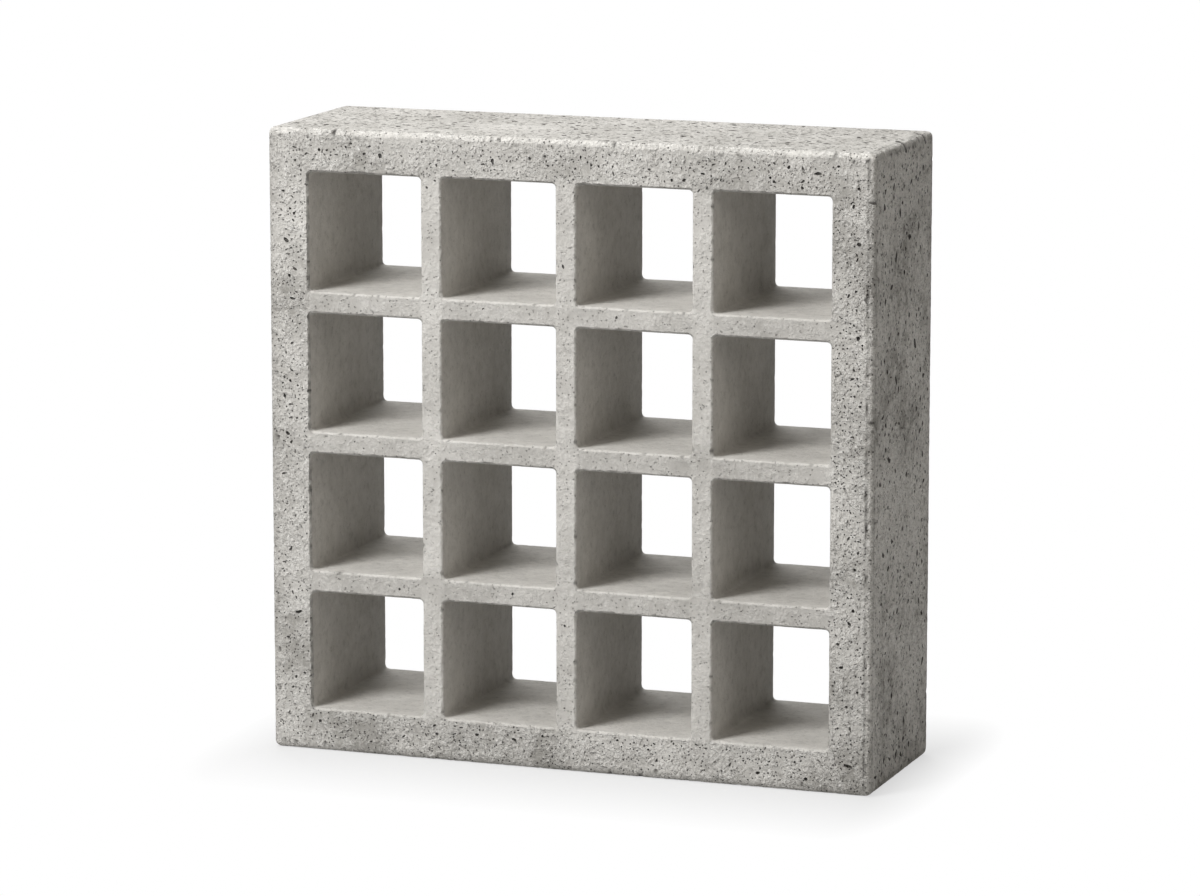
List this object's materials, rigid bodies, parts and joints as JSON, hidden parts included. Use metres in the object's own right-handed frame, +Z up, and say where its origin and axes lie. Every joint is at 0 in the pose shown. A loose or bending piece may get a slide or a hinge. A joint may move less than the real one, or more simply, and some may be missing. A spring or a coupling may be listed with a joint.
{
  "type": "breeze block",
  "caption": "Square concrete screen block with a thick rim and a grid of open square cells right through it, laid in rows to build a wall that lets air and light through.",
  "frame": {"origin": "Middle of the bed face, the bottom of the block as it stands in a wall", "axes": "X runs along the wall from the left end to the right end, Y runs through the wall from the front face to the back face, Z is up"},
  "size_m": [0.29, 0.09, 0.29],
  "materials": {
    "concrete": "cast, matt, lightly pitted light warm-grey concrete"
  },
  "bodies": {
    "root": {"breeze_block": "concrete"}
  },
  "joints": []
}
